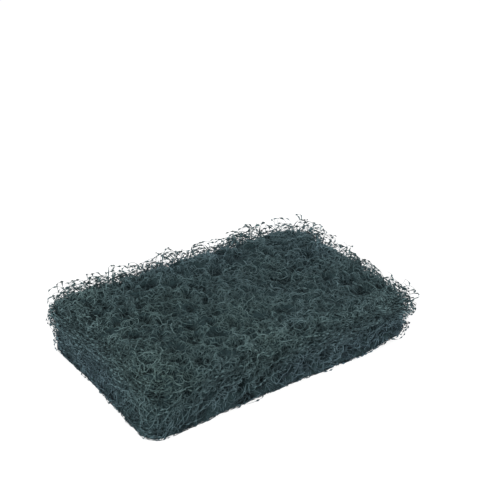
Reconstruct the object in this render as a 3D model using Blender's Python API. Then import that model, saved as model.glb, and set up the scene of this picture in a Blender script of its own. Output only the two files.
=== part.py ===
"""A thick hand scouring pad: one lofty web of crimped fibres, cut to a slab with soft edges.

The pad lies on its lower face. Its origin is on that face, below the middle of the pad, with +X along
the long side, +Y along the short side and +Z up. Units are metres.
"""

import math
import random

import bmesh
import bpy
from mathutils import Matrix, Vector, noise
from mathutils.bvhtree import BVHTree

# The slab, measured over the matted mass and not over the loose fibres
PAD_LENGTH = 0.148
PAD_WIDTH = 0.0965
PAD_THICKNESS = 0.0268
CORNER_RADIUS = 0.009
TOP_RIM_RADIUS = 0.0065
BOTTOM_RIM_RADIUS = 0.0025

# How the cut slab has settled: its near left corner slants in at the top and flares at the foot,
# its left end is out of square, its right corners sag, and the near one curls up at the foot
CORNER_SLANT = 0.0055
CORNER_FLARE = 0.004
CORNER_REACH_ALONG = 0.7
CORNER_REACH_ACROSS = 0.8
END_SKEW = 0.0030
END_BOW = 0.0010
CORNER_LIFT = 0.0045
CORNER_SAG = 0.0024
RIGHT_REACH_ALONG = 0.22
RIGHT_REACH_ACROSS = 0.4
FACE_WAVE = 0.0013
EDGE_WAVE = 0.0014
WAVE_LENGTH = 0.042

# The hollows between the matted strands, lower than wide on the sides where the plies show
HOLLOW_SIZE = 0.0098
SIDE_HOLLOW_HEIGHT = 0.0068
HOLLOW_DEPTH = 0.0036
UNDERSIDE_HOLLOW_DEPTH = 0.0014
HOLLOW_WARP = 0.0040
MEAN_DEPTH_SHARE = 0.68
DEPTH_SHARE_SWING = 0.5
DEPTH_SWING_SCALE = 0.37
STRAND_EDGE = 0.06
FULL_DEPTH_EDGE = 0.55
REST_SPOT_RADIUS = 0.004
REST_FLATNESS = 0.00018

# Fibres, drawn several times as thick as the real 0.2 mm so that they show as solids
FIBRE_THICKNESS = 0.00105
FIBRE_ROOT_DEPTH = 0.0042
FLOOR_CLEARANCE = 0.0009
FOOT_CLEARANCE = 0.003
SPREAD_TRIES = 18

# Curled fibres that wind about over the mat
CURL_COUNT = 60
CURL_STEPS = 9
CURL_STEP = 0.0030
CURL_RISE = 0.0014
LEAST_RISE_SHARE = 0.4
LEAST_TURN = math.radians(12)
MOST_TURN = math.radians(58)
TURN_SWITCH_CHANCE = 0.28

# Fibre ends that stand out round the upper rim
END_COUNT = 56
END_STEPS = 4
END_REACH = 0.0044
END_CURL = 0.0042
LEAST_REACH_SHARE = 0.4
RIM_BAND = 0.0125

# A face that points further down or up than this is the underside or the top
LEVEL_FACE = 0.87

# Mesh fineness: the relief is worked out on a fine grid, which is then thinned
GRID_STEP = 0.0014
BODY_TRIANGLES = 4050
SEED = 11

# Where the three parts of the slow drift are read from, so that they differ
DRIFT_OFFSETS = (Vector((0.0, 0.0, 0.0)), Vector((31.4, 7.7, 12.9)), Vector((-5.3, 44.1, 27.2)))

PAD_COLOUR = (0.030, 0.058, 0.062, 1.0)
PAD_ROUGHNESS = 0.85


def clear_scene():
    for item in list(bpy.data.objects):
        bpy.data.objects.remove(item)


def pad_material():
    material = bpy.data.materials.new("matted_nylon_fibre")
    material.use_nodes = True
    shader = material.node_tree.nodes["Principled BSDF"]
    shader.inputs["Base Color"].default_value = PAD_COLOUR
    shader.inputs["Roughness"].default_value = PAD_ROUGHNESS
    shader.inputs["Metallic"].default_value = 0.0
    return material


def cut_blank():
    """A square-edged block whose faces are an even grid, standing on z = 0."""
    blank = bmesh.new()
    bmesh.ops.create_cube(blank, size=1.0)
    for axis, size in enumerate((PAD_LENGTH, PAD_WIDTH, PAD_THICKNESS)):
        across = [e for e in blank.edges if abs((e.verts[0].co - e.verts[1].co)[axis]) > 0.5]
        cuts = max(2, round(size / GRID_STEP)) - 1
        bmesh.ops.subdivide_edges(blank, edges=across, cuts=cuts, use_grid_fill=True)
    half = Vector((0.0, 0.0, 0.5))
    for vert in blank.verts:
        unit = vert.co + half
        vert.co = Vector((unit.x * PAD_LENGTH, unit.y * PAD_WIDTH, unit.z * PAD_THICKNESS))
    return blank


def square_to_round(a, b):
    """Moves a point of a square ring onto the circle that the ring holds."""
    length = math.hypot(a, b)
    if length == 0.0:
        return a, b
    share = max(abs(a), abs(b)) / length
    return a * share, b * share


def plan_offset(point):
    """The nearest point on the corner arcs' centre lines, and the vector in plan from it."""
    reach_x = PAD_LENGTH / 2 - CORNER_RADIUS
    reach_y = PAD_WIDTH / 2 - CORNER_RADIUS
    inner = Vector((max(-reach_x, min(reach_x, point.x)), max(-reach_y, min(reach_y, point.y)), 0.0))
    return inner, Vector((point.x, point.y, 0.0)) - inner


def round_corners(blank):
    """Rounds the four upright corners in plan."""
    for vert in blank.verts:
        inner, offset = plan_offset(vert.co)
        x, y = square_to_round(offset.x, offset.y)
        vert.co = Vector((inner.x + x, inner.y + y, vert.co.z))


def round_rims(blank):
    """Rounds the upper and the lower rim, each by its own radius."""
    for vert in blank.verts:
        upper = vert.co.z > PAD_THICKNESS / 2
        radius = TOP_RIM_RADIUS if upper else BOTTOM_RIM_RADIUS
        drop = PAD_THICKNESS - vert.co.z if upper else vert.co.z
        inner, offset = plan_offset(vert.co)
        inset = CORNER_RADIUS - offset.length
        if offset.length == 0.0 or drop >= radius or inset >= radius:
            continue
        out, up = square_to_round(radius - inset, radius - drop)
        outward = offset.normalized() * (CORNER_RADIUS - radius + out)
        height = PAD_THICKNESS - radius + up if upper else radius - up
        vert.co = Vector((inner.x + outward.x, inner.y + outward.y, height))


def smooth_step(low, high, value):
    share = max(0.0, min(1.0, (value - low) / (high - low)))
    return share * share * (3.0 - 2.0 * share)


def drift(point):
    """A slow unevenness in X, Y and Z."""
    return Vector([noise.noise(point + offset) for offset in DRIFT_OFFSETS])


def hollow_depth(point, normal):
    """How far the surface sinks at a point: nothing on a strand, full depth inside a hollow."""
    place = point + drift(point / (2.0 * HOLLOW_SIZE)) * HOLLOW_WARP
    on_side = 1.0 - abs(normal.z)
    height = HOLLOW_SIZE + (SIDE_HOLLOW_HEIGHT - HOLLOW_SIZE) * on_side
    place = Vector((place.x / HOLLOW_SIZE, place.y / HOLLOW_SIZE, place.z / height))
    nearest = noise.voronoi(place)[0]
    uneven = MEAN_DEPTH_SHARE + DEPTH_SHARE_SWING * noise.noise(place * DEPTH_SWING_SCALE)
    share = uneven * smooth_step(STRAND_EDGE, FULL_DEPTH_EDGE, nearest[1] - nearest[0])
    if normal.z > -LEVEL_FACE:
        return HOLLOW_DEPTH * share
    middle = math.hypot(point.x, point.y)
    return UNDERSIDE_HOLLOW_DEPTH * share * smooth_step(REST_SPOT_RADIUS, 3.0 * REST_SPOT_RADIUS, middle)


def sink_hollows(blank):
    blank.normal_update()
    sunk = [v.co - v.normal * hollow_depth(v.co, v.normal) for v in blank.verts]
    for vert, place in zip(blank.verts, sunk):
        vert.co = place


def settle(blank):
    """The slab's slow unevenness: corners and one end out of square, wavy faces and edges."""
    for vert in blank.verts:
        level = vert.co.z / PAD_THICKNESS
        along = 0.5 + vert.co.x / PAD_LENGTH
        across = 0.5 + vert.co.y / PAD_WIDTH
        near_end = smooth_step(CORNER_REACH_ALONG, 0.0, along)
        nearness = near_end * smooth_step(CORNER_REACH_ACROSS, 0.0, across)
        slant = CORNER_SLANT * nearness * level
        flare = CORNER_FLARE * nearness ** 3 * (1.0 - level) ** 2
        sideways = 2.0 * across - 1.0
        skew = (END_SKEW * sideways + END_BOW * sideways ** 2) * near_end
        right_end = smooth_step(1.0 - RIGHT_REACH_ALONG, 1.0, along)
        lift = CORNER_LIFT * right_end * smooth_step(RIGHT_REACH_ACROSS, 0.0, across) * (1.0 - level)
        sag = CORNER_SAG * right_end * smooth_step(1.0 - RIGHT_REACH_ACROSS, 1.0, abs(sideways)) * level
        wave = drift(vert.co / WAVE_LENGTH)
        vert.co.x += slant - flare + skew + wave.x * EDGE_WAVE
        vert.co.y += wave.y * EDGE_WAVE - flare
        vert.co.z += wave.z * FACE_WAVE * level + lift - sag


def rounded_slab():
    blank = cut_blank()
    round_corners(blank)
    round_rims(blank)
    return blank


def outer_surface():
    """The slab with no hollows, which the fibres are laid over."""
    blank = rounded_slab()
    settle(blank)
    surface = BVHTree.FromBMesh(blank)
    blank.free()
    return surface


def pad_body(material):
    blank = rounded_slab()
    sink_hollows(blank)
    settle(blank)
    bmesh.ops.triangulate(blank, faces=blank.faces)
    mesh = bpy.data.meshes.new("scouring_pad")
    blank.to_mesh(mesh)
    blank.free()
    mesh.materials.append(material)
    body = bpy.data.objects.new("scouring_pad", mesh)
    bpy.context.scene.collection.objects.link(body)
    return body


def any_tangent(normal, chance):
    spin = chance.uniform(0.0, 2.0 * math.pi)
    side = normal.orthogonal().normalized()
    return side * math.cos(spin) + normal.cross(side) * math.sin(spin)


def spread_out(spots, count, chance):
    """Picks spots that keep their distance from one another."""
    chosen = []
    for _ in range(count):
        tries = chance.sample(spots, SPREAD_TRIES)
        room = [min([(spot - other).length for other in chosen], default=0.0) for spot in tries]
        chosen.append(tries[room.index(max(room))])
    return chosen


def curled_path(surface, foot, chance):
    """A fibre that winds about over the mat with both its ends held inside."""
    spot, normal = surface.find_nearest(foot)[:2]
    heading = any_tangent(normal, chance)
    side = chance.choice((-1.0, 1.0))
    places = [spot - normal * FIBRE_ROOT_DEPTH]
    for _ in range(CURL_STEPS):
        if chance.random() < TURN_SWITCH_CHANCE:
            side = -side
        turn = Matrix.Rotation(side * chance.uniform(LEAST_TURN, MOST_TURN), 3, normal)
        heading = turn @ heading
        heading = (heading - normal * heading.dot(normal)).normalized()
        spot, normal = surface.find_nearest(spot + heading * CURL_STEP)[:2]
        places.append(spot + normal * CURL_RISE * chance.uniform(LEAST_RISE_SHARE, 1.0))
    places.append(spot - normal * FIBRE_ROOT_DEPTH)
    return places


def loose_end_path(foot, normal, chance):
    """A fibre held at one end, curling away from the rim."""
    start = foot - normal * FIBRE_ROOT_DEPTH
    bend = foot + normal * END_REACH * chance.uniform(LEAST_REACH_SHARE, 1.0)
    tip = foot + normal * END_REACH * chance.uniform(LEAST_REACH_SHARE, 1.0)
    tip += any_tangent(normal, chance) * END_CURL * chance.uniform(LEAST_REACH_SHARE, 1.0)
    places = []
    for step in range(END_STEPS + 1):
        t = step / END_STEPS
        places.append(start * (1 - t) ** 2 + bend * (2 * t * (1 - t)) + tip * t ** 2)
    return places


def fibre_paths(body, surface):
    """Curled fibres over the faces and loose ends round the upper rim."""
    chance = random.Random(SEED)
    open_faces = [v for v in body.data.vertices if v.normal.z > -LEVEL_FACE and v.co.z > FOOT_CLEARANCE]
    rim = [v.co for v in open_faces if v.co.z > PAD_THICKNESS - RIM_BAND and v.normal.z < LEVEL_FACE]
    feet = spread_out([v.co for v in open_faces], CURL_COUNT, chance)
    paths = [curled_path(surface, foot, chance) for foot in feet]
    for foot in spread_out(rim, END_COUNT, chance):
        spot, normal = surface.find_nearest(foot)[:2]
        paths.append(loose_end_path(spot, normal, chance))
    return [[Vector((p.x, p.y, max(p.z, FLOOR_CLEARANCE))) for p in path] for path in paths]


def fibre_section():
    """The three-sided section that every fibre is swept with."""
    curve = bpy.data.curves.new("fibre_section", "CURVE")
    curve.dimensions = "2D"
    spline = curve.splines.new("POLY")
    spline.points.add(2)
    radius = FIBRE_THICKNESS / 2
    for corner, point in enumerate(spline.points):
        turn = 2.0 * math.pi * corner / 3.0
        point.co = (radius * math.cos(turn), radius * math.sin(turn), 0.0, 1.0)
    spline.use_cyclic_u = True
    section = bpy.data.objects.new("fibre_section", curve)
    section.hide_render = True
    section.display_type = "WIRE"
    bpy.context.scene.collection.objects.link(section)
    return section


def swept_mesh(paths, section):
    """The mesh of one tube along each path, with no seam left open."""
    curve = bpy.data.curves.new("fibre_paths", "CURVE")
    curve.dimensions = "3D"
    curve.bevel_mode = "OBJECT"
    curve.bevel_object = section
    curve.use_fill_caps = True
    for path in paths:
        spline = curve.splines.new("POLY")
        spline.points.add(len(path) - 1)
        for point, place in zip(spline.points, path):
            point.co = (*place, 1.0)
    swept = bpy.data.objects.new("fibre_paths", curve)
    bpy.context.scene.collection.objects.link(swept)
    bpy.context.view_layer.update()
    graph = bpy.context.evaluated_depsgraph_get()
    mesh = bpy.data.meshes.new_from_object(swept.evaluated_get(graph))
    bpy.data.objects.remove(swept)
    return mesh


def fibre_solids(paths, section):
    """All the fibres as one hidden helper."""
    mesh = swept_mesh(paths, section)
    closed = bmesh.new()
    closed.from_mesh(mesh)
    bmesh.ops.remove_doubles(closed, verts=closed.verts, dist=FIBRE_THICKNESS / 100)
    bmesh.ops.recalc_face_normals(closed, faces=closed.faces)
    closed.to_mesh(mesh)
    closed.free()
    fibres = bpy.data.objects.new("fibres", mesh)
    fibres.hide_render = True
    fibres.display_type = "WIRE"
    bpy.context.scene.collection.objects.link(fibres)
    return fibres


def thin_mesh(body):
    """Keeps triangles where the relief needs them."""
    thin = body.modifiers.new("thin", "DECIMATE")
    thin.ratio = min(1.0, BODY_TRIANGLES / len(body.data.polygons))


def join_fibres(body, fibres):
    join = body.modifiers.new("fibres", "BOOLEAN")
    join.operation = "UNION"
    join.object = fibres
    join.use_self = True


def joined_faces(start):
    """Every face that can be reached from one face over shared edges."""
    reached = {start}
    edge_of_reach = [start]
    while edge_of_reach:
        face = edge_of_reach.pop()
        for edge in face.edges:
            for other in edge.link_faces:
                if other not in reached:
                    reached.add(other)
                    edge_of_reach.append(other)
    return reached


def drop_sealed_gaps(fused):
    """Fills the few gaps that crossing fibres seal in, by dropping their inner skins."""
    farthest = max(fused.faces, key=lambda face: face.calc_center_median().x)
    outside = joined_faces(farthest)
    inner = [face for face in fused.faces if face not in outside]
    bmesh.ops.delete(fused, geom=inner, context="FACES")


def flatten_rest(fused):
    """Brings the strands that the pad lies on to one plane."""
    for vert in fused.verts:
        if vert.co.z < REST_FLATNESS:
            vert.co.z = 0.0


def fuse(body):
    """Replaces the body's mesh by the finished one."""
    bpy.context.view_layer.update()
    graph = bpy.context.evaluated_depsgraph_get()
    fused = bmesh.new()
    fused.from_mesh(body.evaluated_get(graph).to_mesh())
    drop_sealed_gaps(fused)
    flatten_rest(fused)
    bmesh.ops.triangulate(fused, faces=fused.faces)
    body.modifiers.clear()
    fused.to_mesh(body.data)
    fused.free()


def main():
    clear_scene()
    body = pad_body(pad_material())
    fibres = fibre_solids(fibre_paths(body, outer_surface()), fibre_section())
    thin_mesh(body)
    join_fibres(body, fibres)
    fuse(body)


main()
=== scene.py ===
# Scouring pad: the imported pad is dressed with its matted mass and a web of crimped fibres.

import math

import bpy
import numpy as np
from mathutils import Matrix, Vector, noise


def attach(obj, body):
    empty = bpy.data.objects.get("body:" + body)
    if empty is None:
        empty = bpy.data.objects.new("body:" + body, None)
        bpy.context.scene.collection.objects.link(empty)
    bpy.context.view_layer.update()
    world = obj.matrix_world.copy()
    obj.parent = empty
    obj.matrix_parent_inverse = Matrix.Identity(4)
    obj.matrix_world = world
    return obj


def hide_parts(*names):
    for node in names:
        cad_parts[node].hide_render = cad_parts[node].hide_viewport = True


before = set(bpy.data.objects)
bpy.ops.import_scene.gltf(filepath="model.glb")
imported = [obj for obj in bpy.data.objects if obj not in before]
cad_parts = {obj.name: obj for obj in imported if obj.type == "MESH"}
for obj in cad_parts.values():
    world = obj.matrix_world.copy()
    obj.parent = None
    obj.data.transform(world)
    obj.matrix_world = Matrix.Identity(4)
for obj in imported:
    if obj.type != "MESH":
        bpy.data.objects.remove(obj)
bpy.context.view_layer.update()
print("frame loaded")


# The slab's own form, in metres, as in the CAD

padForm = {
    "length": 0.148,
    "width": 0.0965,
    "thickness": 0.0268,
    "cornerRadius": 0.009,
    "topRim": 0.0065,
    "bottomRim": 0.0025,
    "cornerSlant": 0.0055,
    "cornerFlare": 0.004,
    "reachAlong": 0.7,
    "reachAcross": 0.8,
    "endSkew": 0.0030,
    "endBow": 0.0010,
    "cornerLift": 0.0045,
    "cornerSag": 0.0024,
    "rightAlong": 0.22,
    "rightAcross": 0.4,
    "faceWave": 0.0013,
    "edgeWave": 0.0014,
    "waveLength": 0.042,
    "hollowSize": 0.0098,
    "sideHollowHeight": 0.0068,
    "hollowDepth": 0.0036,
    "hollowWarp": 0.0040,
    "warpSpan": 2.0,
    "fineHollowSize": 0.0042,
    "fineHollowDepth": 0.0016,
    "fineFlatness": 0.7,
    "meanShare": 0.68,
    "shareSwing": 0.5,
    "swingScale": 0.37,
    "strandEdge": 0.06,
    "fullDepthEdge": 0.55,
    "underShare": 0.4,
    "levelFace": 0.87,
    "footShare": 0.3,
    "underBand": 0.012,
    "underOpen": 0.35,
    "underFacing": 0.5,
}
driftOffsets = (Vector((0.0, 0.0, 0.0)), Vector((31.4, 7.7, 12.9)), Vector((-5.3, 44.1, 27.2)))


def smoothStep(low, high, value):
    share = np.clip((value - low) / (high - low), 0.0, 1.0)
    return share * share * (3.0 - 2.0 * share)


def rising(low, share):  # low where the share is 0, up to 1 where it is 1
    return low + (1 - low) * share


def falling(low, share):  # 1 where the share is 0, down to low where it is 1
    return 1 - (1 - low) * share


def unit(vectors):
    return vectors / np.maximum(np.linalg.norm(vectors, axis=-1, keepdims=True), 1e-12)


def drift(points, scale):  # a slow unevenness in X, Y and Z, each between -1 and 1
    found = np.empty(points.shape)
    for row, point in enumerate(points):
        place = Vector(point) / scale
        found[row] = [noise.noise(place + offset) for offset in driftOffsets]
    return found


def settle(points):  # corners and one end out of square, wavy faces and edges
    form = padForm
    level = points[:, 2] / form["thickness"]
    along = 0.5 + points[:, 0] / form["length"]
    across = 0.5 + points[:, 1] / form["width"]
    nearEnd = smoothStep(form["reachAlong"], 0.0, along)
    nearness = nearEnd * smoothStep(form["reachAcross"], 0.0, across)
    slant = form["cornerSlant"] * nearness * level
    flare = form["cornerFlare"] * nearness ** 3 * (1.0 - level) ** 2
    sideways = 2.0 * across - 1.0
    skew = (form["endSkew"] * sideways + form["endBow"] * sideways ** 2) * nearEnd
    rightEnd = smoothStep(1.0 - form["rightAlong"], 1.0, along)
    nearCorner = smoothStep(form["rightAcross"], 0.0, across)
    lift = form["cornerLift"] * rightEnd * nearCorner * (1.0 - level)
    eitherCorner = smoothStep(1.0 - form["rightAcross"], 1.0, np.abs(sideways))
    sag = form["cornerSag"] * rightEnd * eitherCorner * level
    wave = drift(points, form["waveLength"])
    moved = points.copy()
    moved[:, 0] += slant - flare + skew + wave[:, 0] * form["edgeWave"]
    moved[:, 1] += wave[:, 1] * form["edgeWave"] - flare
    moved[:, 2] += wave[:, 2] * form["faceWave"] * level + lift - sag
    return moved


def outerDistance(points):  # distance to the slab's outer surface, negative inside
    form = padForm
    x, y, z = points[:, 0], points[:, 1], points[:, 2]
    overX = np.abs(x) - (form["length"] / 2 - form["cornerRadius"])
    overY = np.abs(y) - (form["width"] / 2 - form["cornerRadius"])
    pastCorner = np.hypot(np.maximum(overX, 0), np.maximum(overY, 0))
    plan = pastCorner + np.minimum(np.maximum(overX, overY), 0)
    middle = form["thickness"] / 2
    rim = np.where(z > middle, form["topRim"], form["bottomRim"])
    sideways = plan - form["cornerRadius"] + rim
    upright = np.abs(z - middle) - middle + rim
    beyond = np.hypot(np.maximum(sideways, 0), np.maximum(upright, 0))
    return beyond + np.minimum(np.maximum(sideways, upright), 0) - rim


def outward(points):  # the outer surface's normal nearest each point
    reach = 0.0004
    slope = np.empty(points.shape)
    for axis in range(3):
        step = np.zeros(3)
        step[axis] = reach
        slope[:, axis] = outerDistance(points + step) - outerDistance(points - step)
    return unit(slope)


def hollowLayer(places, depth):  # one size of hollow: none on a strand, full depth between strands
    form = padForm
    edge = np.empty(len(places))
    swing = np.empty(len(places))
    for row, place in enumerate(places):
        nearest = noise.voronoi(Vector(place))[0]
        edge[row] = nearest[1] - nearest[0]
        swing[row] = noise.noise(Vector(place) * form["swingScale"])
    uneven = form["meanShare"] + form["shareSwing"] * swing
    return depth * uneven * smoothStep(form["strandEdge"], form["fullDepthEdge"], edge)


def hollowAt(points, normals):  # how far the mat is sunk between its strands
    form = padForm
    warped = points + drift(points, form["warpSpan"] * form["hollowSize"]) * form["hollowWarp"]
    onSide = 1.0 - np.abs(normals[:, 2])
    fineHeight = form["fineHollowSize"] * form["fineFlatness"]
    sunk = np.zeros(len(points))
    for size, height, depth in (
        (form["hollowSize"], form["sideHollowHeight"], form["hollowDepth"]),
        (form["fineHollowSize"], fineHeight, form["fineHollowDepth"]),
    ):
        cell = np.full(points.shape, size)
        cell[:, 2] += (height - size) * onSide
        sunk += hollowLayer(warped / cell, depth)
    return sunk * np.where(normals[:, 2] < -form["levelFace"], form["underShare"], 1.0)


def planDistance(points):  # distance to the outline as seen from above, negative inside
    return outerDistance(points * (1, 1, 0) + (0, 0, padForm["thickness"] / 2))


def openness(points, normals):  # none along the lower rim, where the web is pressed to an edge
    form = padForm
    lifted = smoothStep(0.0, form["footShare"], points[:, 2] / form["thickness"])
    within = smoothStep(0.0, form["underBand"], -planDistance(points))
    return np.where(normals[:, 2] < -form["underFacing"], form["underOpen"] * within, lifted)


# Node helper: one function adds a node with its settings and links

def linearColour(hexText):
    parts = [int(hexText[i:i + 2], 16) / 255 for i in (1, 3, 5)]
    return tuple(p / 12.92 if p <= 0.04045 else ((p + 0.055) / 1.055) ** 2.4 for p in parts) + (1.0,)


def addNode(tree, kind, settings=None, inputs=None, links=None):
    node = tree.nodes.new(kind)
    for name, value in (settings or {}).items():
        setattr(node, name, value)
    for name, value in (inputs or {}).items():
        node.inputs[name].default_value = value
    for name, source in (links or {}).items():
        tree.links.new(source, node.inputs[name])
    return node


def newMaterial(name):
    material = bpy.data.materials.new(name)
    material.use_nodes = True
    return material, material.node_tree


def finishShader(tree, colour, height, look):  # colour, fine relief and gloss go to the shader
    shader = tree.nodes["Principled BSDF"]
    bump = addNode(tree, "ShaderNodeBump",
                   inputs={"Strength": look["bumpStrength"], "Distance": look["bumpHeight"]},
                   links={"Height": height})
    tree.links.new(colour, shader.inputs["Base Color"])
    tree.links.new(bump.outputs["Normal"], shader.inputs["Normal"])
    shader.inputs["Roughness"].default_value = look["roughness"]
    shader.inputs["Specular IOR Level"].default_value = look["specular"]


# Crimped nylon staple, sprayed with dyed resin: dull grey-green strands, each a little lighter or
# darker than the next, greener in some patches and bluer in others. Painted shade darkens them deep
# in the web, in its hollows and near the foot; painted light makes them paler near the outline, and a
# bluer tint of painted light is laid on low down and towards the right and far side. Small pale grains
# of abrasive are held in the resin. Nylon's IOR is near the shader's own 1.5

fibreLook = {
    "shades": ((0.0, "#152226"), (0.5, "#3c5053"), (0.8, "#5d777a"), (1.0, "#749094")),
    "greenPatch": "#f5f2df",
    "bluePatch": "#f0eaff",
    "patchSize": 0.028,  # dye takes unevenly over some 28 mm
    "patchShare": 0.4,
    "paintedBlueLight": (1.4, 2.0, -17.0),  # painted bluish light: bluer per metre along X and Y, and strongest low down along Z
    "blueLevel": 0.69,
    "grainSize": 0.0005,  # real grit of 0.1 mm is too fine to show, so it is drawn coarser
    "grainPale": "#8fa2a4",
    "grainFrom": 0.58,
    "grainTo": 0.72,
    "grainShare": 0.15,
    "roughness": 0.75,
    "specular": 0.12,
    "bumpSize": 0.00035,  # beads of resin, about as wide as the fibre
    "bumpHeight": 0.00006,
    "bumpStrength": 0.6,
}


def fibreMaterial(name, look):
    material, tree = newMaterial(name)
    place = addNode(tree, "ShaderNodeTexCoord").outputs["Object"]
    own = addNode(tree, "ShaderNodeUVMap", {"uv_map": "strand"})
    split = addNode(tree, "ShaderNodeSeparateXYZ", links={"Vector": own.outputs["UV"]})
    shade = addNode(tree, "ShaderNodeValToRGB", links={"Fac": split.outputs["Y"]})
    ramp = shade.color_ramp
    for index, (position, hexText) in enumerate(look["shades"]):
        stop = ramp.elements[index] if index < 2 else ramp.elements.new(position)
        stop.position = position
        stop.color = linearColour(hexText)
    patch = addNode(tree, "ShaderNodeTexNoise",
                    inputs={"Scale": 1 / look["patchSize"], "Detail": 1.0}, links={"Vector": place})
    # painted light: along gives a bluer tint low down and towards the right and far side, for bluish
    # light on the sides
    along = addNode(tree, "ShaderNodeVectorMath", {"operation": "DOT_PRODUCT"},
                    inputs={1: look["paintedBlueLight"]}, links={0: place})
    bluer = addNode(tree, "ShaderNodeMath", {"operation": "MULTIPLY_ADD"},
                    inputs={1: look["patchShare"]},
                    links={0: patch.outputs["Fac"], 2: along.outputs["Value"]})
    mixing = addNode(tree, "ShaderNodeMath", {"operation": "ADD", "use_clamp": True},
                     inputs={1: look["blueLevel"]}, links={0: bluer.outputs[0]})
    tint = addNode(tree, "ShaderNodeMix", {"data_type": "RGBA"},
                   inputs={6: linearColour(look["greenPatch"]), 7: linearColour(look["bluePatch"])},
                   links={0: mixing.outputs[0]})
    toned = addNode(tree, "ShaderNodeMix", {"data_type": "RGBA", "blend_type": "MULTIPLY"},
                    inputs={0: 1.0}, links={6: shade.outputs["Color"], 7: tint.outputs[2]})
    grain = addNode(tree, "ShaderNodeTexNoise",
                    inputs={"Scale": 1 / look["grainSize"], "Detail": 1.0}, links={"Vector": place})
    speck = addNode(tree, "ShaderNodeMapRange",
                    inputs={"From Min": look["grainFrom"], "From Max": look["grainTo"],
                            "To Max": look["grainShare"]},
                    links={"Value": grain.outputs["Fac"]})
    colour = addNode(tree, "ShaderNodeMix", {"data_type": "RGBA"},
                     inputs={7: linearColour(look["grainPale"])},
                     links={0: speck.outputs["Result"], 6: toned.outputs[2]})
    beads = addNode(tree, "ShaderNodeTexNoise", inputs={"Scale": 1 / look["bumpSize"]},
                    links={"Vector": place})
    finishShader(tree, colour.outputs[2], beads.outputs["Fac"], look)
    return material


# The same fibre packed close, seen between the strands: dark, with a felted grain. Painted shade
# darkens the gaps in the felt, and darkens it most where it lies deepest in the hollows

massLook = {
    "dark": "#0e181b",
    "light": "#384c4f",
    "feltSize": 0.0011,  # the gaps between packed fibres are about 1 mm wide
    "feltEdge": 0.4,
    # painted shade in the gaps between the packed fibres
    "gapShade": 0.4,
    "warpSpan": 3.0,
    "warpShare": 0.002,
    "roughness": 0.9,
    "specular": 0.1,
    "bumpHeight": 0.0006,
    "bumpStrength": 0.8,
}


def massMaterial(name, look):
    material, tree = newMaterial(name)
    place = addNode(tree, "ShaderNodeTexCoord").outputs["Object"]
    bend = addNode(tree, "ShaderNodeTexNoise",
                   inputs={"Scale": 1 / (look["warpSpan"] * look["feltSize"])}, links={"Vector": place})
    warped = addNode(tree, "ShaderNodeMix", {"data_type": "VECTOR"}, inputs={0: look["warpShare"]},
                     links={4: place, 5: bend.outputs["Color"]})
    felt = addNode(tree, "ShaderNodeTexVoronoi", {"feature": "DISTANCE_TO_EDGE"},
                   inputs={"Scale": 1 / look["feltSize"]}, links={"Vector": warped.outputs[1]})
    strand = addNode(tree, "ShaderNodeMapRange",
                     inputs={"From Max": look["feltEdge"], "To Min": 1.0, "To Max": look["gapShade"]},
                     links={"Value": felt.outputs["Distance"]})
    # painted shade: the depth attribute darkens the mass where it is sunk deepest, as shade falls in
    # the hollows
    depth = addNode(tree, "ShaderNodeAttribute", {"attribute_name": "depth"})
    height = addNode(tree, "ShaderNodeMapRange", inputs={"To Min": 1.0, "To Max": 0.0},
                     links={"Value": depth.outputs["Fac"]})
    lit = addNode(tree, "ShaderNodeMath", {"operation": "MULTIPLY"},
                  links={0: strand.outputs["Result"], 1: height.outputs["Result"]})
    colour = addNode(tree, "ShaderNodeMix", {"data_type": "RGBA"},
                     inputs={6: linearColour(look["dark"]), 7: linearColour(look["light"])},
                     links={0: lit.outputs[0]})
    finishShader(tree, colour.outputs[2], strand.outputs["Result"], look)
    return material


# Matted mass: the web below its loose surface, sunk between the strands as the CAD pad is

massShape = {
    "inset": 0.0009,
    "footInset": 0.0003,
    "paintedShadeDepth": 0.0045,
    "underPaintedShadeDepth": 0.0022,
    "voxel": 0.0010,
    "cornerSegments": 8,
    "rimSegments": 6,
    "restHeight": 0.0002,
}


def bevelWhere(pad, wanted, offset, segments):  # wanted says by its two ends if an edge is meant
    bpy.context.tool_settings.mesh_select_mode = (False, True, False)
    for item in (*pad.data.polygons, *pad.data.vertices):
        item.select = False
    for edge in pad.data.edges:
        edge.select = wanted(*[pad.data.vertices[i].co for i in edge.vertices])
    bpy.ops.object.mode_set(mode="EDIT")
    bpy.ops.mesh.bevel(offset=offset, segments=segments)
    bpy.ops.object.mode_set(mode="OBJECT")


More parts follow.
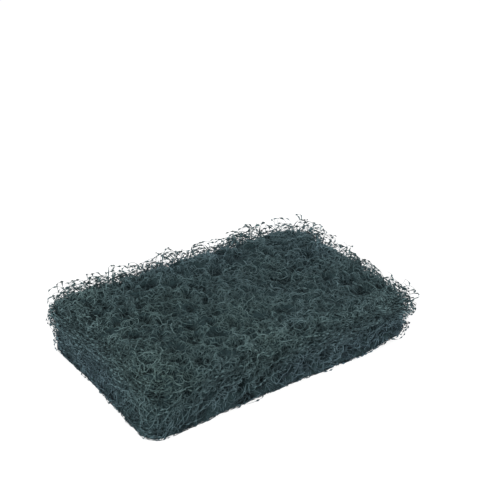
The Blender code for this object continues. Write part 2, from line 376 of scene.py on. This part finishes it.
def makeMass():
    form, shape = padForm, massShape
    bpy.ops.object.select_all(action="DESELECT")
    bpy.ops.mesh.primitive_cube_add(size=1.0, location=(0, 0, form["thickness"] / 2))
    mass = bpy.context.active_object
    mass.name = mass.data.name = "matted_mass"
    mass.scale = (form["length"], form["width"], form["thickness"])
    bpy.ops.object.transform_apply(location=True, rotation=True, scale=True)
    top, hair = form["thickness"], 1e-6
    for wanted, offset, segments in (
        (lambda a, b: abs(a.z - b.z) > top / 2, form["cornerRadius"], shape["cornerSegments"]),
        (lambda a, b: min(a.z, b.z) > top - hair, form["topRim"], shape["rimSegments"]),
        (lambda a, b: max(a.z, b.z) < hair, form["bottomRim"], shape["rimSegments"] // 2),
    ):
        bevelWhere(mass, wanted, offset, segments)
    remesh = mass.modifiers.new("even_mesh", "REMESH")
    remesh.mode = "VOXEL"
    remesh.voxel_size = shape["voxel"]
    bpy.ops.object.modifier_apply(modifier=remesh.name)
    places = np.empty(len(mass.data.vertices) * 3)
    mass.data.vertices.foreach_get("co", places)
    places = places.reshape(-1, 3)
    out = outward(places)
    sunk = shape["inset"] + hollowAt(places, out)
    places -= out * (shape["footInset"] + sunk * openness(places, out))[:, None]
    places = settle(places)
    places[:, 2] = np.maximum(places[:, 2], shape["restHeight"])
    mass.data.vertices.foreach_set("co", places.ravel())
    mass.data.update()
    # painted shade: how deep each point is sunk, stored as depth, darkens it in the material
    depth = mass.data.attributes.new("depth", "FLOAT", "POINT")
    under = out[:, 2] < -form["levelFace"]
    dark = sunk / np.where(under, shape["underPaintedShadeDepth"], shape["paintedShadeDepth"])
    depth.data.foreach_set("value", np.clip(dark, 0, 1).astype(np.float32))
    bpy.ops.object.shade_smooth()
    mass.data.materials.append(massMaterial("felted_nylon", massLook))
    return mass


# Web of fibres: each is a crimped random walk that keeps to its own depth in the web. It is about
# 0.3 mm thick, as a real coarse nylon staple is, and turns every millimetre or so

webShape = {
    "points": 12,
    "step": 0.00108,
    "thickness": 0.00032,
    "leastTurn": math.radians(12),
    "mostTurn": math.radians(74),
    "switchChance": 0.25,
    "tumble": 0.5,
    "plyShare": 0.15,
    "plyFlatness": 0.04,
    "alongRim": 0.0,
    "grip": 0.8,
    "wander": 0.0009,
    "leastRate": 0.7,
    "mostRate": 1.7,
    "faceFrom": 0.6,
    "shell": 0.0035,
    "triesAtOnce": 20000,
    "deepest": 0.0022,
    "sinkShare": 0.95,
    "bridgeShare": 0.11,
    "bridgeSink": 0.1,
    "ridgeShade": 0.395,
    "ownDepthShare": 0.4,
    "scatter": 0.12,
    "clumpShade": 0.3,
    "clumpSize": 0.007,
    "paleShare": 0.15,
    "paleGain": 0.14,
    "paleDepth": 0.2,
    "paleSlack": 0.55,
    "paleBand": 0.030,
    "paintedFootShade": 0.2,
    "footBand": 0.009,
    "closest": 0.12,
    "leastCurl": 0.3,
    "thinnest": 0.92,
    "thickest": 1.2,
    "thickShare": 1.0,
    "knotEvery": 3,
    "endThinness": 0.6,
    "taperPower": 0.5,
    "floor": 0.00026,
}
# How many fibres a piece has, which way their face looks, the depth at which its painted shade is
# darkest, and how much painted light makes it paler near the pad's outline
webPieces = {
    "web_top_a": (2300, "top", 0.0025, 0.48),
    "web_top_b": (2300, "top", 0.0025, 0.48),
    "web_long_sides": (2500, "sides", 0.0020, 0.32),
    "web_ends": (1900, "ends", 0.0030, 0.27),
    "web_under": (2150, "under", 0.0014, 0.25),
}


def standsUpright(out):  # a side or an end of the pad
    return np.abs(out[:, 2]) <= webShape["faceFrom"]


def looksAlongY(out):
    return np.abs(out[:, 1]) >= np.abs(out[:, 0])


facings = {
    "top": lambda out: out[:, 2] > webShape["faceFrom"],
    "sides": lambda out: standsUpright(out) & looksAlongY(out),
    "ends": lambda out: standsUpright(out) & ~looksAlongY(out),
    "under": lambda out: out[:, 2] < -webShape["faceFrom"],
}


def shellPoints(count, facing, rng):
    form = padForm
    half = np.array((form["length"] / 2, form["width"] / 2, form["thickness"] / 2))
    middle = np.array((0, 0, form["thickness"] / 2))
    found = np.empty((0, 3))
    while len(found) < count:
        tries = middle + rng.uniform(-1, 1, (webShape["triesAtOnce"], 3)) * half
        distance = outerDistance(tries)
        tries = tries[(distance < 0) & (distance > -webShape["shell"])]
        found = np.concatenate([found, tries[facings[facing](outward(tries))]])
    return found[:count]


def turned(vectors, axes, angles):  # Rodrigues' rotation, row by row
    cos, sin = np.cos(angles)[:, None], np.sin(angles)[:, None]
    along = (vectors * axes).sum(1, keepdims=True)
    return vectors * cos + np.cross(axes, vectors) * sin + axes * along * (1 - cos)


def walkFibres(at, shape, wantedAt, slack, rng):  # crimped walks that keep to a wanted distance
    count = len(at)
    out = outward(at)
    side = rng.choice((-1.0, 1.0), count)
    curl = slack * rng.uniform(shape["leastCurl"], 1.0, count)
    heading = unit(np.cross(out, rng.normal(size=(count, 3))))
    paths = np.empty((count, shape["points"], 3))
    upright = np.array((0.0, 0.0, 1.0))
    for step in range(shape["points"]):
        at = at + out * ((wantedAt(step, at, out) - outerDistance(at)) * shape["grip"])[:, None]
        paths[:, step] = at
        side = np.where(rng.random(count) < shape["switchChance"], -side, side)
        angle = side * curl * rng.uniform(shape["leastTurn"], shape["mostTurn"], count)
        ply = out * (1 - shape["plyShare"]) + upright * shape["plyShare"]
        axis = unit(ply + rng.normal(0, shape["tumble"], (count, 3)))
        heading = turned(heading, axis, angle)
        rim = np.cross(out, upright)
        heading += rim * np.sign((heading * rim).sum(1, keepdims=True)) * shape["alongRim"]
        heading[:, 2] *= 1.0 - shape["plyFlatness"] * (1.0 - np.abs(out[:, 2]))
        heading = unit(heading)
        at = at + heading * shape["step"]
        out = outward(at)
    return paths


def webPaths(count, facing, paintedShadeDepth, paintedRimLight, rng):  # each keeps its own depth, some bridge hollows
    shape = webShape
    pale = rng.random(count) < shape["paleShare"]
    depth = shape["deepest"] * rng.random(count) * np.where(pale, shape["paleDepth"], 1.0)
    bridging = rng.random(count) < shape["bridgeShare"]
    sinking = np.where(bridging, shape["bridgeSink"], shape["sinkShare"])
    phase = rng.uniform(0, 2 * math.pi, count)
    rate = rng.uniform(shape["leastRate"], shape["mostRate"], count)

    def wantedAt(step, at, out):
        wander = shape["wander"] * np.sin(phase + step * rate)
        sunk = np.maximum(depth + wander, 0.0) + sinking * hollowAt(at, out)
        return -sunk * rising(shape["closest"], openness(at, out))

    slack = np.where(pale, shape["paleSlack"], 1.0)
    start = shellPoints(count, facing, rng)
    clumps = np.array([noise.noise(Vector(place) / shape["clumpSize"]) for place in start])
    paths = walkFibres(start, shape, wantedAt, slack, rng)
    flat = paths.reshape(-1, 3)
    hollow = hollowAt(flat, outward(flat)).reshape(paths.shape[:2])
    # painted shade: below darkens a fibre the deeper it lies in the web and the deeper its hollow, as
    # shade falls there
    below = shape["ownDepthShare"] * depth[:, None] + sinking[:, None] * hollow
    sunken = np.clip(below / paintedShadeDepth, 0, 1)
    # painted light: fibres are paler near the outline, over all of the upright faces and along the
    # top's rim
    nearRim = smoothStep(-shape["paleBand"], 0.0, planDistance(flat)).reshape(paths.shape[:2])
    shade = shape["ridgeShade"] * (1 - sunken) + paintedRimLight * nearRim
    shade += shape["scatter"] * rng.random((count, 1)) + shape["paleGain"] * pale[:, None]
    shade += shape["clumpShade"] * clumps[:, None]
    # painted shade: fibres on the sides and ends are darker towards the foot, near the floor
    if facing != "under":
        shade -= shape["paintedFootShade"] * smoothStep(shape["footBand"], 0.0, paths[:, :, 2])
    return paths, np.clip(shade, 0, 1)


tubeForm = {
    "corners": 3,
    "spread": (0.75, 1.3),  # the thinnest and the thickest fibre against the usual one
    "bakeMargin": (0.08, 0.12),
}


def tubeMesh(name, paths, shade, shape, rng):
    corners = tubeForm["corners"]
    count, points = paths.shape[:2]
    along = np.empty(paths.shape)
    along[:, 1:-1] = paths[:, 2:] - paths[:, :-2]
    along[:, 0] = paths[:, 1] - paths[:, 0]
    along[:, -1] = paths[:, -1] - paths[:, -2]
    along = unit(along)
    across = unit(np.cross(along[:, 0], rng.normal(size=(count, 3))))
    middle = np.sin(math.pi * np.linspace(0, 1, points)) ** shape["taperPower"]
    taper = rising(shape["endThinness"], middle)
    radius = shape["thickness"] / 2 * rng.uniform(*tubeForm["spread"], (count, 1))
    fromKnot = np.arange(points) + rng.integers(0, shape["knotEvery"], (count, 1))
    thick = fromKnot % shape["knotEvery"] == 0
    thick &= rng.random((count, points)) < shape["thickShare"]
    radius = radius * np.where(thick, shape["thickest"], shape["thinnest"])
    rings = np.empty((count, points, corners, 3))
    for step in range(points):
        tangent = along[:, step]
        across = unit(across - tangent * (across * tangent).sum(1, keepdims=True))
        other = np.cross(tangent, across)
        for corner in range(corners):
            angle = 2 * math.pi * corner / corners
            offset = across * math.cos(angle) + other * math.sin(angle)
            rings[:, step, corner] = paths[:, step] + offset * (radius[:, step] * taper[step])[:, None]
    start = np.arange(count)[:, None] * points * corners
    ring = start[:, None] + np.arange(points - 1)[None, :, None] * corners
    corner = np.arange(corners)[None, None, :]
    here, there = ring + corner, ring + (corner + 1) % corners
    quads = np.stack([here, there, there + corners, here + corners], -1).reshape(-1, 4)
    tip = start + (points - 1) * corners
    caps = np.concatenate([start + np.array([0, 2, 1]), tip + np.array([0, 1, 2])])
    loops = np.concatenate([quads.ravel(), caps.ravel()])
    sizes = np.concatenate([np.full(len(quads), 4), np.full(len(caps), 3)])
    mesh = bpy.data.meshes.new(name)
    mesh.vertices.add(count * points * corners)
    mesh.vertices.foreach_set("co", rings.ravel())
    mesh.loops.add(len(loops))
    mesh.loops.foreach_set("vertex_index", loops.astype(np.int32))
    mesh.polygons.add(len(sizes))
    loopStarts = np.concatenate([[0], np.cumsum(sizes)[:-1]])
    mesh.polygons.foreach_set("loop_start", loopStarts.astype(np.int32))
    mesh.update(calc_edges=True)
    mesh.validate()
    addMaps(mesh, count, points, loops, shade)
    return mesh


def writeMap(mesh, name, u, v):
    layer = mesh.uv_layers.new(name=name)
    layer.uv.foreach_set("vector", np.stack([u, v], 1).astype(np.float32).ravel())


def addMaps(mesh, count, points, loops, shade):
    # strand holds the way along a fibre and its shade, and OFBake gives each fibre its own cell
    corners = tubeForm["corners"]
    fibre = loops // (points * corners)
    step = loops % (points * corners) // corners
    corner = loops % corners
    writeMap(mesh, "strand", step / (points - 1), shade[fibre, step])
    quadLoops = count * (points - 1) * corners * 4
    around = corner.astype(float)
    lastSide = np.arange(quadLoops) // 4 % corners == corners - 1
    around[:quadLoops][lastSide & (corner[:quadLoops] == 0)] = corners
    grid = math.ceil(math.sqrt(count))
    cell = 1 / grid
    marginU, marginV = tubeForm["bakeMargin"]
    u = (fibre % grid + marginU + (1 - 2 * marginU) * step / (points - 1)) * cell
    v = (fibre // grid + marginV + (1 - 2 * marginV) * around / corners) * cell
    writeMap(mesh, "OFBake", u, v)


def makeFibres(name, paths, shade, shape, material, rng):
    places = settle(paths.reshape(-1, 3))
    places[:, 2] = np.maximum(places[:, 2], shape["floor"])
    mesh = tubeMesh(name, places.reshape(paths.shape), shade, shape, rng)
    mesh.materials.append(material)
    mesh.shade_smooth()
    fibres = bpy.data.objects.new(name, mesh)
    bpy.context.scene.collection.objects.link(fibres)
    return fibres


# Open lace over the mat: single fibres with knots of resin that lift off it, some held at both ends
# and some free, in clumps. They stand highest round the far rims and least in the middle of the
# right end, run down the right end and the far left corner, and a few fray out at the foot

laceShape = {
    "rimFibres": 1800,
    "faceFibres": 450,
    "points": 12,
    "step": 0.00115,
    "thickness": 0.00050,
    "thinnest": 0.32,
    "thickest": 2.0,
    "thickShare": 0.8,
    "knotEvery": 3,
    "endThinness": 0.3,
    "taperPower": 0.9,
    "leastTurn": math.radians(15),
    "mostTurn": math.radians(90),
    "leastCurl": 0.4,
    "switchChance": 0.5,
    "tumble": 0.35,
    "plyShare": 0.5,
    "plyFlatness": 0.3,
    "alongRim": 0.75,
    "grip": 0.6,
    "rimRise": 0.0070,
    "lowShare": 0.4,
    "nearShare": 0.6,
    "nearLine": (-0.6, 0.1),
    "nearDensity": 0.25,
    "rightDensity": 0.65,
    "leftShare": 0.58,
    "leftFrom": -0.064,
    "lowBias": 1.25,
    "cornerRise": 0.0026,
    "cornerAlong": (0.03, 0.07),
    "cornerAcross": (0.01, 0.04),
    "rightDip": -0.017,
    "dipAcross": (0.006, 0.026),
    "rightMiddle": -0.0034,
    "rightRise": 0.0006,
    "rightFrom": 0.064,
    "faceRise": 0.0010,
    "footRise": 0.0008,
    "leastRiseShare": 0.15,
    "rimBand": 0.007,
    "rimDrop": 0.014,
    "lowest": 0.0006,
    "freeShare": 0.2,
    "freeBy": 0.7,
    "heldSteepness": 1.7,
    "rootDepth": 0.0018,
    "clumpSize": 0.010,
    "clumpRange": (-0.1, 0.25),
    "clumpSparse": 0.3,
    "triesPerFibre": 4,
    "floor": 0.0006,
    "footBand": 0.004,
    "faceShare": 0.25,
    "endShare": 0.3,
    "leftCorner": (0.064, 0.032),
    "leftDensity": 0.55,
    "palest": 0.85,
    "darkest": 0.35,
}


def rightness(places):  # 1 at the right end, 0 elsewhere
    return smoothStep(laceShape["rightFrom"], padForm["length"] / 2, places[:, 0])


def farLeft(places):  # highest down the far left corner, 0 elsewhere
    fromX, fromY = laceShape["leftCorner"]
    leftward = smoothStep(fromX, padForm["length"] / 2, -places[:, 0])
    farward = smoothStep(fromY, padForm["width"] / 2, places[:, 1])
    return laceShape["leftDensity"] * leftward * farward


def farther(places):  # 0 at the near left corner, 1 beyond the line between its two neighbours
    diagonal = places[:, 0] / padForm["length"] + places[:, 1] / padForm["width"]
    return smoothStep(*laceShape["nearLine"], diagonal)


def risenHeight(z):  # 0 well below the upper rim, 1 at its top
    return smoothStep(padForm["thickness"] - laceShape["rimDrop"], padForm["thickness"], z)


def laceFeet(rng):  # places on the outline, those near a rim first
    shape = laceShape
    perKind = shape["triesPerFibre"] * (shape["rimFibres"] + shape["faceFibres"])
    tries = np.concatenate([shellPoints(perKind, kind, rng) for kind in ("top", "sides", "ends")])
    tries = tries - outward(tries) * outerDistance(tries)[:, None]
    lumps = np.array([noise.noise(Vector(place) / shape["clumpSize"]) for place in tries])
    likely = rising(shape["clumpSparse"], smoothStep(*shape["clumpRange"], lumps))
    tries = tries[rng.random(len(tries)) < likely]
    lowDown = shape["endShare"] * np.maximum(rightness(tries), farLeft(tries))
    likely = smoothStep(-shape["rimBand"], 0.0, planDistance(tries))
    likely = likely * np.maximum(risenHeight(tries[:, 2]), lowDown)
    likely *= rising(shape["nearDensity"], farther(tries))
    likely *= falling(shape["rightDensity"], rightness(tries))
    nearRim = rng.random(len(tries)) < likely
    rim = rng.permutation(tries[nearRim])[:shape["rimFibres"]]
    likely = np.where(tries[:, 2] < shape["footBand"], 1.0, shape["faceShare"])
    wanted = rng.random(len(tries)) < likely
    wanted &= ~nearRim & (tries[:, 2] > shape["lowest"])
    face = rng.permutation(tries[wanted])[:shape["faceFibres"]]
    return rim, face


def rimRise(places):  # highest at the far and right corners, less down the ends
    shape = laceShape
    x, y, z = places.T
    height = risenHeight(z)
    onLeft = smoothStep(*shape["cornerAcross"], np.abs(y))
    corner = np.where(x > 0, smoothStep(*shape["dipAcross"], np.abs(y - shape["rightDip"])), onLeft)
    far = farther(places)
    cornerRise = shape["cornerRise"] * corner * far * smoothStep(*shape["cornerAlong"], np.abs(x))
    middleRise = shape["rightMiddle"] * (1 - corner) * smoothStep(*shape["cornerAlong"], x)
    highest = shape["rimRise"] * rising(shape["nearShare"], far) + cornerRise + middleRise
    leftward = smoothStep(shape["leftFrom"], -padForm["length"] / 2, x)
    highest *= falling(shape["leftShare"], leftward)
    return highest * rising(shape["lowShare"], height) + (1 - height) * endRise(places)


def endRise(places):
    return laceShape["rightRise"] * rightness(places)


def lacePaths(rng):
    shape = laceShape
    rim, face = laceFeet(rng)
    feet = np.concatenate([rim, face])
    atFoot = shape["footRise"] * smoothStep(2 * shape["footBand"], 0.0, face[:, 2])
    highest = np.concatenate([rimRise(rim), shape["faceRise"] + atFoot + endRise(face)])
    share = rng.random(len(feet)) ** shape["lowBias"]
    rise = highest * rising(shape["leastRiseShare"], share)
    free = rng.random(len(feet)) < shape["freeShare"]

    def wantedAt(step, at, out):
        t = step / (shape["points"] - 1)
        held = min(1.0, shape["heldSteepness"] * math.sin(math.pi * t))
        loose = smoothStep(0.0, shape["freeBy"], t)
        share = np.where(free, loose, held)
        return rise * share - shape["rootDepth"] * (1 - share)

    start = feet - outward(feet) * shape["rootDepth"]
    ownShade = rng.uniform(shape["darkest"], shape["palest"], (len(feet), 1))
    shade = np.repeat(ownShade, shape["points"], axis=1)
    return walkFibres(start, shape, wantedAt, 1.0, rng), shade


# Floor, lamps and camera. The floor is a white paper sweep, matt and even: the camera sees it near
# white with a faint shadow, and the pad gets the light that a greyer paper would throw back

stageLook = {
    "floorSize": 20.0,
    "floorColour": "#bdbdbd",
    "seenWhite": 0.84,
    "seenShade": 0.3,
    "worldLight": 0.34,
}


def seenRays(tree):  # 1 where the camera sees the stage, straight or by way of gloss or glass
    path = addNode(tree, "ShaderNodeLightPath")
    either = addNode(tree, "ShaderNodeMath", {"operation": "MAXIMUM"},
                     links={0: path.outputs["Is Camera Ray"], 1: path.outputs["Is Glossy Ray"]})
    looking = addNode(tree, "ShaderNodeMath", {"operation": "MAXIMUM"},
                      links={0: either.outputs[0], 1: path.outputs["Is Transmission Ray"]})
    return looking.outputs[0]


def makeFloor():
    bpy.ops.object.select_all(action="DESELECT")
    bpy.ops.mesh.primitive_plane_add(size=stageLook["floorSize"], location=(0, 0, 0))
    floor = bpy.context.active_object
    floor.name = "floor"
    material, tree = newMaterial("white_paper_sweep")
    tree.nodes.clear()
    paper = addNode(tree, "ShaderNodeBsdfDiffuse",
                    inputs={"Color": linearColour(stageLook["floorColour"])})
    shaded = addNode(tree, "ShaderNodeBsdfDiffuse",
                     inputs={"Color": (stageLook["seenShade"],) * 3 + (1.0,)})
    white = addNode(tree, "ShaderNodeEmission",
                    inputs={"Color": (1, 1, 1, 1), "Strength": stageLook["seenWhite"]})
    seen = addNode(tree, "ShaderNodeAddShader", links={0: shaded.outputs[0], 1: white.outputs[0]})
    mixed = addNode(tree, "ShaderNodeMixShader",
                    links={0: seenRays(tree), 1: paper.outputs[0], 2: seen.outputs[0]})
    addNode(tree, "ShaderNodeOutputMaterial", links={"Surface": mixed.outputs[0]})
    floor.data.materials.append(material)


lampSet = {  # name: place, size, watts
    "key_left": ((-1.2, -0.3, 0.57), 0.9, 18.5),
    "fill_front": ((0.42, -0.42, 0.22), 0.5, 3.3),
    "top_soft": ((0.1, 0.3, 1.5), 1.4, 0.6),
}


def makeLamps():
    for name, (place, size, watts) in lampSet.items():
        bpy.ops.object.light_add(type="AREA", location=place)
        lamp = bpy.context.active_object
        lamp.name = name
        lamp.data.size = size
        lamp.data.energy = watts
        lamp.rotation_mode = "QUATERNION"
        lamp.rotation_quaternion = Vector(place).to_track_quat("Z", "Y")
    world = bpy.data.worlds.new("soft_studio")
    bpy.context.scene.world = world
    world.use_nodes = True
    tree = world.node_tree
    background = tree.nodes["Background"]
    background.inputs["Color"].default_value = (1, 1, 1, 1)
    light = stageLook["worldLight"]
    strength = addNode(tree, "ShaderNodeMath", {"operation": "MULTIPLY_ADD"},
                       inputs={1: 1.0 - light, 2: light}, links={0: seenRays(tree)})
    tree.links.new(strength.outputs[0], background.inputs["Strength"])


# The view that puts the pad's corners where they are in the photo: degrees, metres and pixels

cameraFit = {
    "azimuth": -35.8,
    "elevation": 26.6,
    "distance": 0.768,
    "right": 0.0054,
    "up": 0.0497,
    "focalPixels": 1600.0,
    "imagePixels": 480,
    "sensorWidth": 36.0,
}


def makeCamera():
    fit = cameraFit
    azimuth, elevation = math.radians(fit["azimuth"]), math.radians(fit["elevation"])
    back = Vector((math.sin(azimuth) * math.cos(elevation), -math.cos(azimuth) * math.cos(elevation),
                   math.sin(elevation)))
    right = Vector((0, 0, 1)).cross(back).normalized()
    up = back.cross(right)
    place = back * fit["distance"] + right * fit["right"] + up * fit["up"]
    bpy.ops.object.camera_add(location=place)
    camera = bpy.context.active_object
    camera.name = "camera"
    camera.rotation_mode = "QUATERNION"
    camera.rotation_quaternion = Matrix((right, up, back)).transposed().to_quaternion()
    camera.data.sensor_width = fit["sensorWidth"]
    camera.data.lens = fit["focalPixels"] * camera.data.sensor_width / fit["imagePixels"]
    bpy.context.scene.camera = camera


bpy.context.scene.view_settings.view_transform = "Standard"
makeFloor()
makeLamps()
makeCamera()
print("floor, lamps and camera made")

mass = makeMass()
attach(mass, "root")
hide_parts("scouring_pad")
print("matted mass made:", len(mass.data.polygons), "faces")

seeds = {"web": 100, "lace": 41}
strandMaterial = fibreMaterial("crimped_nylon_with_resin", fibreLook)
for number, (webName, webPlan) in enumerate(webPieces.items()):
    draws = np.random.default_rng(seeds["web"] + number)
    paths, shade = webPaths(*webPlan, draws)
    web = makeFibres(webName, paths, shade, webShape, strandMaterial, draws)
    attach(web, "root")
    print(webName, "made:", len(web.data.polygons), "faces")

draws = np.random.default_rng(seeds["lace"])
paths, shade = lacePaths(draws)
lace = makeFibres("open_lace", paths, shade, laceShape, strandMaterial, draws)
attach(lace, "root")
print("open lace made:", len(lace.data.polygons), "faces")
